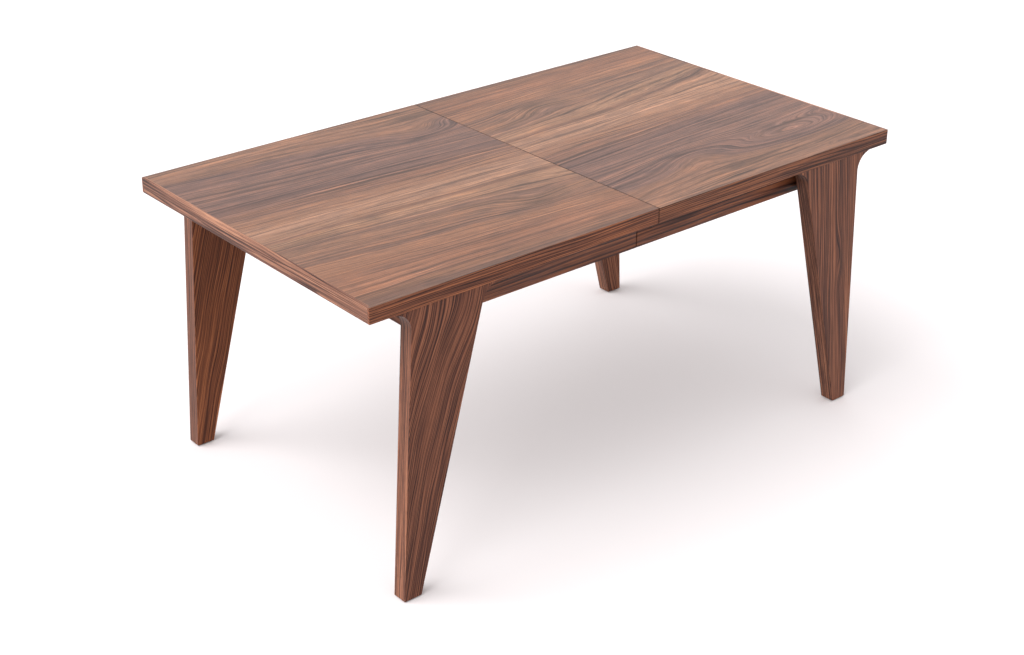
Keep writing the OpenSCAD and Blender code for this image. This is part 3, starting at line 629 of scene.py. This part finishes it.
aim = g.node("GeometryNodeInputNamedAttribute", {"data_type": "FLOAT_VECTOR"}, {"Name": "aim"}, "Attribute")
facing = g.node("FunctionNodeAlignRotationToVector", {"axis": "Z"}, {"Vector": aim})
spin = g.node("FunctionNodeRandomValue", {"data_type": "FLOAT_VECTOR"},
              {"Min": (0, 0, 0), "Max": g.vector(0.0, 0.0, g.value("Spin")), "Seed": g.value("Seed")})
spin = g.node("FunctionNodeEulerToRotation", {}, [spin])
facing = g.node("FunctionNodeRotateRotation", {"rotation_space": "LOCAL"},
                {"Rotation": facing, "Rotate By": spin})
placed = g.node("GeometryNodeInstanceOnPoints", {}, {
    "Points": g.value("Geometry"), "Instance": g.join(part, thread), "Rotation": facing})
placed = g.node("GeometryNodeRealizeInstances", {}, {"Geometry": placed})
placed = g.node("GeometryNodeSetMaterial", {}, {"Geometry": placed, "Material": g.value("Finish")})
g.node("NodeGroupOutput", {}, {0: placed})

# how far each outline reaches at an angle, as a share of its radius
outlines = {
    "round": lambda turn: 1.0,
    "hex": lambda turn: math.cos(math.pi / 6) / math.cos(turn % (math.pi / 3) - math.pi / 6),
    "cross": lambda turn: 0.32 + 0.68 * abs(math.cos(2 * turn)) ** 5,
}
creaseAngle = math.radians(32)  # sharper edges of a turned part stay crisp


def turned(rows, sides=24):
    # a turned part along +Z from rows of height, radius and outline
    bm = bmesh.new()
    turns = [2 * math.pi * i / sides for i in range(sides)]
    rings = [[bm.verts.new((radius * outlines[outline](turn) * math.cos(turn),
                            radius * outlines[outline](turn) * math.sin(turn), height)) for turn in turns]
             for height, radius, outline in rows]
    bm.faces.new(rings[0])
    bm.faces.new(rings[-1])
    for lower, upper in zip(rings, rings[1:]):
        for i in range(sides):
            j = (i + 1) % sides
            bm.faces.new((lower[i], lower[j], upper[j], upper[i]))
    bmesh.ops.recalc_face_normals(bm, faces=bm.faces)
    for face in bm.faces:
        face.smooth = True
    for edge in bm.edges:
        edge.smooth = edge.calc_face_angle(0) < creaseAngle
    mesh = bpy.data.meshes.new("part")
    bm.to_mesh(mesh)
    bm.free()
    part = bpy.data.objects.new("part", mesh)
    bpy.context.scene.collection.objects.link(part)
    return part


def setFittings(node, rows, material, aimOf, sides=24, threadStart=0.0, threadLength=0.0, threadRadius=0.001,
                ridge=0.0003, pitch=0.002):
    places, aims = [], []
    for low, high in islands(node):
        centre = [(a + b) / 2 for a, b in zip(low, high)]
        aim = aimOf(centre)
        axis = max(range(3), key=lambda i: abs(aim[i]))
        centre[axis] = low[axis] if aim[axis] > 0 else high[axis]
        places.append(centre)
        aims.append(aim)
    mesh = bpy.data.meshes.new(node + "_places")
    mesh.from_pydata(places, [], [])
    stored = mesh.attributes.new("aim", "FLOAT_VECTOR", "POINT")
    for i, aim in enumerate(aims):
        stored.data[i].vector = aim
    holder = bpy.data.objects.new(node + "_places", mesh)
    bpy.context.scene.collection.objects.link(holder)
    part = turned(rows, sides)
    modifier = holder.modifiers.new("fittings", "NODES")
    modifier.node_group = g.tree
    inputs = {"Part": part, "Finish": material, "Thread start": threadStart, "Thread length": threadLength,
              "Thread radius": threadRadius, "Ridge": ridge, "Pitch": pitch, "Spin": fitting["spin"],
              "Seed": fitting["seed"]}
    for label, value in inputs.items():
        modifier[g.identifiers[label]] = value
    graph = bpy.context.evaluated_depsgraph_get()
    result = bpy.data.meshes.new_from_object(holder.evaluated_get(graph), depsgraph=graph)
    result.name = node + "_set"
    holder.modifiers.clear()
    bpy.data.objects.remove(holder)
    bpy.data.objects.remove(part)
    piece = bpy.data.objects.new(node + "_set", result)
    bpy.context.scene.collection.objects.link(piece)
    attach(piece, bodyOf[node])
    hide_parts(node)


steel = plain("zincSteel", (176, 176, 178), 0.32, 1.0)
darkSteel = plain("blackSteel", (42, 38, 36), 0.45, 0.6)
brass = plain("brass", (206, 168, 96), 0.28, 1.0)
nylon = plain("nylon", (228, 224, 214), 0.45)
glidePlastic = plain("glidePlastic", (40, 30, 24), 0.5)


def upwards(centre):
    return (0, 0, 1)


def outwards(centre):
    return (0, 1 if centre[1] > 0 else -1, 0)


screws = {"top": {"shank": 0.005, "head": 0.009, "headHeight": 0.0035, "ridge": 0.0006, "pitch": 0.0024},
          "latch": {"shank": 0.003, "head": 0.006, "headHeight": 0.0015, "ridge": 0.0004, "pitch": 0.0013}}
plainShare = 0.30  # of a screw's length has no thread


def screwRows(size, length):
    # cross recess, domed head, plain shank and point
    shank, head, headHeight = size["shank"], size["head"], size["headHeight"]
    core = shank / 2 - size["ridge"]
    return [(headHeight * 0.55, head * 0.10, "cross"), (0.0001, head * 0.24, "cross"),
            (0.0, head * 0.27, "round"), (headHeight * 0.10, head * 0.38, "round"),
            (headHeight * 0.30, head * 0.46, "round"), (headHeight * 0.62, head * 0.50, "round"),
            (headHeight, head * 0.50, "round"), (headHeight, core + 0.0003, "round"),
            (length * plainShare, core + 0.0001, "round"), (length - shank, core, "round"),
            (length, 0.0003, "round")]


for node, kind in {"left_top_screws": "top", "right_top_screws": "top", "bearer_screws": "top",
                   "latch_plate_screws": "latch", "latch_keeper_screws": "latch"}.items():
    size = screws[kind]
    low, high = islands(node)[0]
    length = high[2] - low[2]
    threaded = length * (1 - plainShare) - size["shank"]
    setFittings(node, screwRows(size, length), steel, upwards, threadStart=length * plainShare,
                threadLength=threaded, threadRadius=size["shank"] / 2, ridge=size["ridge"],
                pitch=size["pitch"])

bolt = {"socket": 0.0036, "socketDepth": 0.0030, "head": 0.0065, "headHeight": 0.004, "flange": 0.008,
        "flangeBottom": 0.006, "shank": 0.0034, "tip": 0.0026, "length": 0.074,
        "thread": {"threadStart": 0.038, "threadLength": 0.034, "threadRadius": 0.004, "ridge": 0.0007,
                   "pitch": 0.00125}}
boltRows = [(bolt["socketDepth"], bolt["socket"], "hex"), (0.0002, bolt["socket"], "hex"),
            (0.0, bolt["socket"] + 0.0004, "hex"), (0.0, bolt["head"] - 0.0008, "round"),
            (0.0008, bolt["head"], "round"), (bolt["headHeight"], bolt["head"], "round"),
            (bolt["headHeight"], bolt["flange"] - 0.0004, "round"),
            (bolt["headHeight"] + 0.0005, bolt["flange"], "round"),
            (bolt["flangeBottom"], bolt["flange"], "round"), (bolt["flangeBottom"], bolt["shank"], "round"),
            (bolt["length"] - 0.001, bolt["shank"], "round"), (bolt["length"], bolt["tip"], "round")]

# a closed sleeve: the bolt's thread fills its bore
insertThread = {"threadStart": 0.0035, "threadLength": 0.0135, "threadRadius": 0.0065, "ridge": 0.0010,
                "pitch": 0.0030}
insertRows = [(0.0006, 0.0046, "hex"), (0.0, 0.0048, "hex"), (0.0, 0.0060, "round"),
              (0.0005, 0.0065, "round"), (0.0016, 0.0065, "round"), (0.0018, 0.0056, "round"),
              (0.0180, 0.0054, "round"), (0.0190, 0.0046, "round")]

# a foot glide: its domed pad, then the nail that holds it
glideRows = [(0.0, 0.0102, "round"), (0.0004, 0.0118, "round"), (0.0010, 0.0126, "round"),
             (0.0018, 0.0130, "round"), (0.0026, 0.0130, "round"), (0.0030, 0.0126, "round"),
             (0.0030, 0.0020, "round"), (0.0165, 0.0018, "round"), (0.0190, 0.0003, "round")]
for half in ("left", "right"):
    setFittings(half + "_leg_bolts", boltRows, steel, outwards, 36, **bolt["thread"])
    setFittings(half + "_leg_inserts", insertRows, brass, outwards, **insertThread)
    setFittings(half + "_glides", glideRows, glidePlastic, upwards, 32)


def pinRows(radius, length):
    # a small chamfer at the foot and a rounded end
    return [(0.0, radius * 0.80, "round"), (0.0006, radius, "round"),
            (length - radius * 0.6, radius, "round"), (length - radius * 0.35, radius * 0.92, "round"),
            (length - radius * 0.12, radius * 0.74, "round"), (length, radius * 0.45, "round")]


runnerRow = 0.3121  # how far the middle of a centre runner is from the middle of the table


def fromRunner(centre):
    row = runnerRow if centre[1] > 0 else -runnerRow
    return (0, 1 if centre[1] > row else -1, 0)


# radius and length of each kind of pin
pins = {"alignment_pins": (0.0045, 0.0276), "leaf_pins": (0.0045, 0.0270), "stop_pins": (0.0025, 0.0195)}
setFittings("alignment_pins", pinRows(*pins["alignment_pins"]), brass, lambda centre: (1, 0, 0))
setFittings("leaf_pins", pinRows(*pins["leaf_pins"]), brass, lambda centre: (0, -1, 0))
setFittings("stop_pins", pinRows(*pins["stop_pins"]), steel, fromRunner, 16)
print("fittings done")

bySlot = {"steel": steel, "brass": brass, "nylon": nylon, "beech": beechAlongX, "walnut_solid": apronWood,
          "walnut_lipping": leafWood, "walnut_veneer": leafWood, "glide": glidePlastic}
for name, node in nodes.items():
    node.data.materials.clear()
    node.data.materials.append(darkSteel if name.endswith(("latch_lever", "latch_plates", "latch_keepers"))
                               else bySlot[slotOf[name]])
print("frame finishes done")

stage = {"floor": 200.0, "floorWhiteAndBounceTint": (0.93, 0.882, 0.888, 1), "sky": 0.89, "ground": 0.15,
         "horizon": (0.46, 0.48),  # where the sky ends, from 0 under the floor to 1 overhead
         "side": 2.9, "sideSize": 75, "sideHeight": 38, "sideTurn": 12}

bm = bmesh.new()
bmesh.ops.create_grid(bm, x_segments=1, y_segments=1, size=stage["floor"] / 2)
floorMesh = bpy.data.meshes.new("floor")
bm.to_mesh(floorMesh)
bm.free()
floor = bpy.data.objects.new("floor", floorMesh)
bpy.context.scene.collection.objects.link(floor)
# the floor is white with a slight pink, which is painted bounce light: it stands in for the reddish light
# that the wood throws into the shadow under the table
floorMesh.materials.append(Finish("floorPaper").surface(stage["floorWhiteAndBounceTint"], 1.0, specular=0.0))
floor.visible_diffuse = False  # the white floor throws no light up under the table

world = bpy.data.worlds.new("sky")
bpy.context.scene.world = world
world.use_nodes = True
sky = NodeMaker(world.node_tree)
direction = sky.parts(sky.node("ShaderNodeTexCoord", {}, {}, "Generated"))[2]
glow = sky.ramp(direction * 0.5 + 0.5, list(zip(stage["horizon"], (stage["ground"], stage["sky"]))), "LINEAR")
background = sky.node("ShaderNodeBackground", {}, {"Color": (1, 1, 1, 1), "Strength": glow})
sky.node("ShaderNodeOutputWorld", {}, {"Surface": background})

sideData = bpy.data.lights.new("softbox", "SUN")
sideData.energy = stage["side"]
sideData.angle = math.radians(stage["sideSize"])
side = bpy.data.objects.new("softbox", sideData)
bpy.context.scene.collection.objects.link(side)
height, turn = math.radians(stage["sideHeight"]), math.radians(stage["sideTurn"])
sideFrom = Vector((-math.cos(turn) * math.cos(height), math.sin(turn) * math.cos(height), math.sin(height)))
side.rotation_euler = sideFrom.to_track_quat("Z", "Y").to_euler()

view = {"eye": (-2.5828, -2.9718, 2.2419), "aim": (0.0200, 0.1929, 0.3675), "lens": 61.27,
        "shift": (0.02796, -0.06299)}
camera = bpy.data.objects.new("camera", bpy.data.cameras.new("camera"))
bpy.context.scene.collection.objects.link(camera)
camera.location = view["eye"]
camera.rotation_euler = (Vector(view["aim"]) - Vector(view["eye"])).to_track_quat("-Z", "Y").to_euler()
camera.data.sensor_width = 36
camera.data.lens = view["lens"]
camera.data.shift_x, camera.data.shift_y = view["shift"]
bpy.context.scene.camera = camera
bpy.context.scene.view_settings.view_transform = "Standard"
print("stage done")
